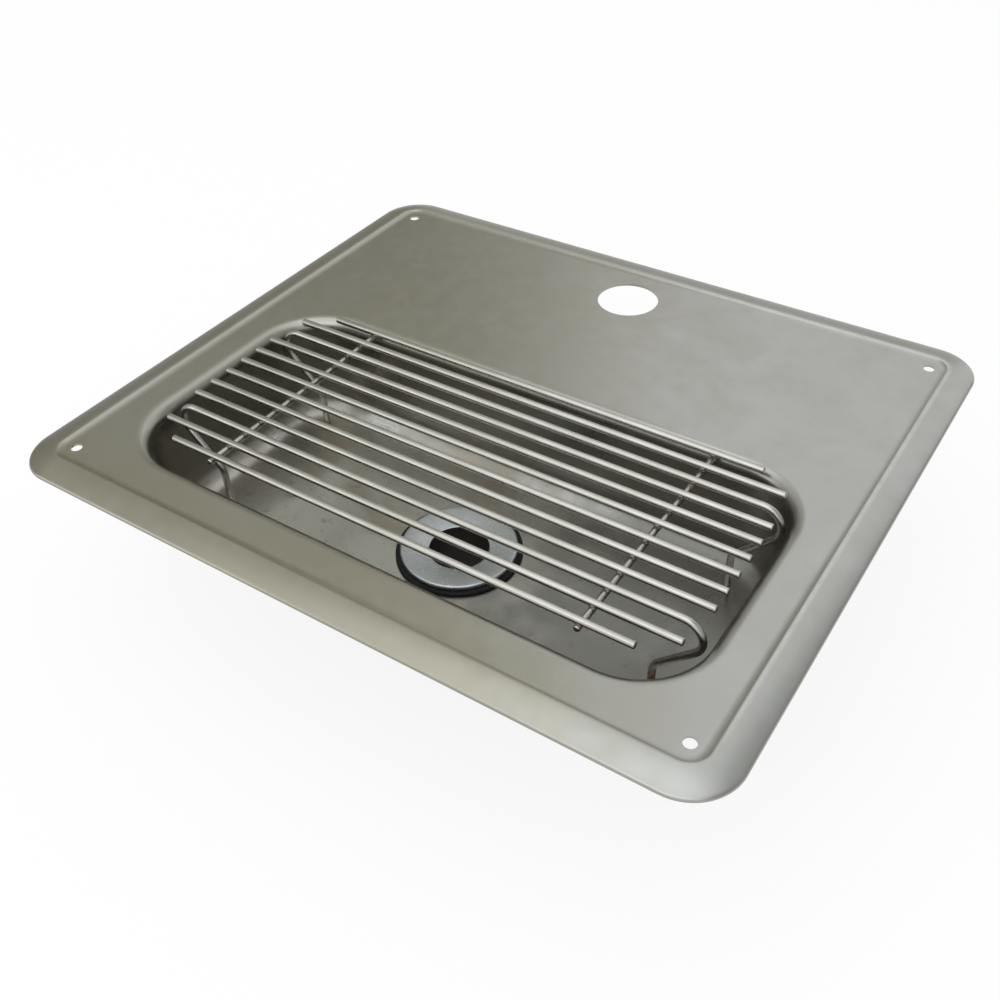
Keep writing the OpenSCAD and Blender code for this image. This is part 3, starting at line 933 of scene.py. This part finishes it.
def makeThread():
    pickNothing()
    core = drain["shank"] / 2 - drain["threadDepth"] - drain["threadSink"]
    height, pitch = drain["threadDepth"] + drain["threadSink"], drain["threadPitch"]
    foot, crest = drain["threadFoot"] * pitch, drain["threadCrest"] * pitch
    bpy.ops.mesh.primitive_circle_add(vertices=4, radius=1, location=(0, 0, 0), fill_type="NOTHING")
    piece = startPiece("drainThread")
    bpy.ops.object.mode_set(mode="OBJECT")
    corners = ((core, -foot), (core + height, -crest), (core + height, crest), (core, foot))
    for vertex, (out, up) in zip(piece.data.vertices, corners):
        vertex.co = (out, 0, up)
    turns = int((drain["threadTop"] - drain["threadLow"]) / pitch) - 1
    applyModifier(piece, "SCREW", steps=72, render_steps=72, screw_offset=pitch, iterations=turns, axis="Z")
    bpy.ops.object.mode_set(mode="EDIT")
    bpy.ops.mesh.select_all(action="SELECT")
    bpy.ops.mesh.fill_holes(sides=4)
    bpy.ops.mesh.select_all(action="SELECT")
    bpy.ops.transform.translate(value=(0, drainY, drain["threadLow"] + pitch))
    closeMesh()
    smoothShade(50)
    return piece


def makeRing(name, node, edge):
    low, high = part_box(node)
    outer = (high.x - low.x) / 2
    inner = drain["shank"] / 2 + drain["sealGap"]
    points = [(inner, low.z)]
    points += arcPoints((outer - edge, low.z + edge), edge, -90, 0, 4)
    points += arcPoints((outer - edge, high.z - edge), edge, 0, 90, 4)
    points += [(inner, high.z)]
    ring = turnProfile(name, points)
    smoothShade(40)
    return ring


# A CAD node's own shape with its edges broken, as a casting's are
def softenNode(name, node, width, segments):
    pickNothing()
    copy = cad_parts[node].copy()
    copy.data = copy.data.copy()
    copy.name = copy.data.name = name
    bpy.context.scene.collection.objects.link(copy)
    copy.parent = None
    copy.hide_render = False
    pick(copy)
    bpy.ops.object.mode_set(mode="EDIT")
    bpy.ops.mesh.select_all(action="SELECT")
    bpy.ops.mesh.remove_doubles(threshold=0.003 * mm)
    bpy.ops.mesh.dissolve_limited(angle_limit=radians(1))
    bpy.ops.mesh.normals_make_consistent(inside=False)
    bpy.ops.object.mode_set(mode="OBJECT")
    applyModifier(
        copy, "BEVEL", width=width, segments=segments, limit_method="ANGLE", angle_limit=radians(40))
    smoothShade(40)
    return copy


drainBody = turnProfile("drainFlange", drainProfile(), 128)
smoothShade(40)
finishPiece(drainBody, "sink", "drain_steel", drainSteel, "drain_body")
finishPiece(makeThread(), "sink", "drain_steel", drainSteel)
topGasket = makeRing("topGasket", "drain_top_gasket", 0.7 * mm)
finishPiece(topGasket, "sink", "black_rubber", rubber, "drain_top_gasket")
lowGasket = makeRing("lowGasket", "drain_low_gasket", 0.8 * mm)
finishPiece(lowGasket, "sink", "black_rubber", rubber, "drain_low_gasket")
washer = makeRing("frictionWasher", "drain_friction_washer", 0.15 * mm)
finishPiece(washer, "sink", "fibre", fibre, "drain_friction_washer")
locknut = softenNode("locknut", "drain_locknut", 0.4 * mm, 2)
finishPiece(locknut, "sink", "cast_zinc", zinc, "drain_locknut")
print("drain is fitted")

# Floor, backdrop and light
studio = {
    "floor": (0.9, 0.9, 0.9),
    "floorGlow": 0.85,  # how much of the floor's white is its own
    "fill": 0.9,
    "lampDistance": 2.0,
    "cardDistance": 2.4,
    # azimuth from and to, elevation from and to, all in degrees, then the colour
    "cards": {
        "cardBack": (84, 128, -4, 24, (0.54, 0.54, 0.50)),
        "cardBackLeft": (128, 180, -4, 24, (0.34, 0.33, 0.29)),
        "cardLeft": (120, 210, 24, 36, (0.44, 0.435, 0.385)),
        "cardLeftLow": (180, 212, -4, 24, (0.50, 0.50, 0.46)),
        "cardLeftHigh": (118, 205, 36, 62, (0.60, 0.60, 0.545)),
        "cardRight": (-32, 60, -4, 62, (0.49, 0.50, 0.50)),
    },
    # azimuth and elevation, width and height in metres, how much it adds to the backdrop, then the colour
    "lamps": {
        "frontLamp": (285, 49, 2.4, 1.0, 0.8, (0.92, 0.96, 1.0)),
        "topLamp": (240, 76, 2.2, 2.0, 0.5, (0.94, 0.97, 1.0)),
        "sideLamp": (222, 22, 1.2, 0.9, 0.8, (0.97, 0.98, 1.0)),
    },
}


def direction(azimuth, elevation):
    a, e = radians(azimuth), radians(elevation)
    return Vector((cos(e) * cos(a), cos(e) * sin(a), sin(e)))


# White where it is seen, by the camera or in the metal; a plain grey as a light
def showWhite(tree):
    rays = tree.nodes.new("ShaderNodeLightPath")
    seen = mathNode(tree, "MAXIMUM", rays.outputs["Is Camera Ray"], rays.outputs["Is Glossy Ray"])
    return mathNode(tree, "MAXIMUM", seen, rays.outputs["Is Transmission Ray"])


def makeWorld():
    world = bpy.data.worlds.new("studio")
    bpy.context.scene.world = world
    world.use_nodes = True
    world.cycles.sampling_method = "NONE"
    tree = world.node_tree
    grey = studio["fill"]
    colour = mixColour(tree, showWhite(tree), (grey, grey, grey), (1.0, 1.0, 1.0))
    tree.links.new(colour, tree.nodes["Background"].inputs["Color"])


def makeFloor():
    pickNothing()
    bpy.ops.mesh.primitive_plane_add(size=6, location=(0, 0, drainLow.z - 0.2 * mm))
    floor = bpy.context.object
    floor.name = "floor"
    material, tree, shader = newMaterial("paleFloor")
    nodes, links = tree.nodes, tree.links
    shader.inputs["Base Color"].default_value = (*studio["floor"], 1)
    shader.inputs["Roughness"].default_value = 0.9
    glow = nodes.new("ShaderNodeEmission")
    blend = nodes.new("ShaderNodeMixShader")
    links.new(mathNode(tree, "MULTIPLY", showWhite(tree), studio["floorGlow"]), blend.inputs["Fac"])
    links.new(shader.outputs["BSDF"], blend.inputs[1])
    links.new(glow.outputs["Emission"], blend.inputs[2])
    links.new(blend.outputs["Shader"], nodes["Material Output"].inputs["Surface"])
    floor.data.materials.append(material)


# Grey curved cards round the set, which only the metal sees
def addCard(name, azimuth, azimuthEnd, elevation, elevationEnd, colour):
    pickNothing()
    bpy.ops.mesh.primitive_plane_add(size=1)
    card = startPiece(name)
    selectPoints(card, lambda point: point.x > 0)
    bpy.ops.mesh.delete(type="VERT")
    bpy.ops.object.mode_set(mode="OBJECT")
    for vertex, height in zip(card.data.vertices, (elevation, elevationEnd)):
        vertex.co = direction(azimuth, height) * studio["cardDistance"]
    bpy.ops.object.mode_set(mode="EDIT")
    bpy.ops.mesh.select_all(action="SELECT")
    bpy.ops.mesh.spin(steps=24, angle=radians(azimuthEnd - azimuth), center=(0, 0, 0), axis=(0, 0, -1))
    bpy.ops.object.mode_set(mode="OBJECT")
    material, tree = newMaterial(name)[:2]
    glow = tree.nodes.new("ShaderNodeEmission")
    glow.inputs["Color"].default_value = (*colour, 1)
    tree.links.new(glow.outputs["Emission"], tree.nodes["Material Output"].inputs["Surface"])
    card.data.materials.append(material)
    card.visible_camera = card.visible_diffuse = card.visible_shadow = False


def addLamp(name, azimuth, elevation, wide, high, extra, colour):
    away = direction(azimuth, elevation)
    distance = studio["lampDistance"]
    data = bpy.data.lights.new(name, "AREA")
    data.shape = "RECTANGLE"
    data.size, data.size_y = wide, high
    data.energy = extra * pi * data.size * data.size_y
    data.color = colour
    lamp = bpy.data.objects.new(name, data)
    bpy.context.scene.collection.objects.link(lamp)
    lamp.location = away * distance
    lamp.rotation_euler = away.to_track_quat("Z", "Y").to_euler()


makeWorld()
makeFloor()
for name, values in studio["cards"].items():
    addCard(name, *values)
for name, values in studio["lamps"].items():
    addLamp(name, *values)
print("studio is lit")

bpy.context.scene.view_settings.view_transform = "Standard"
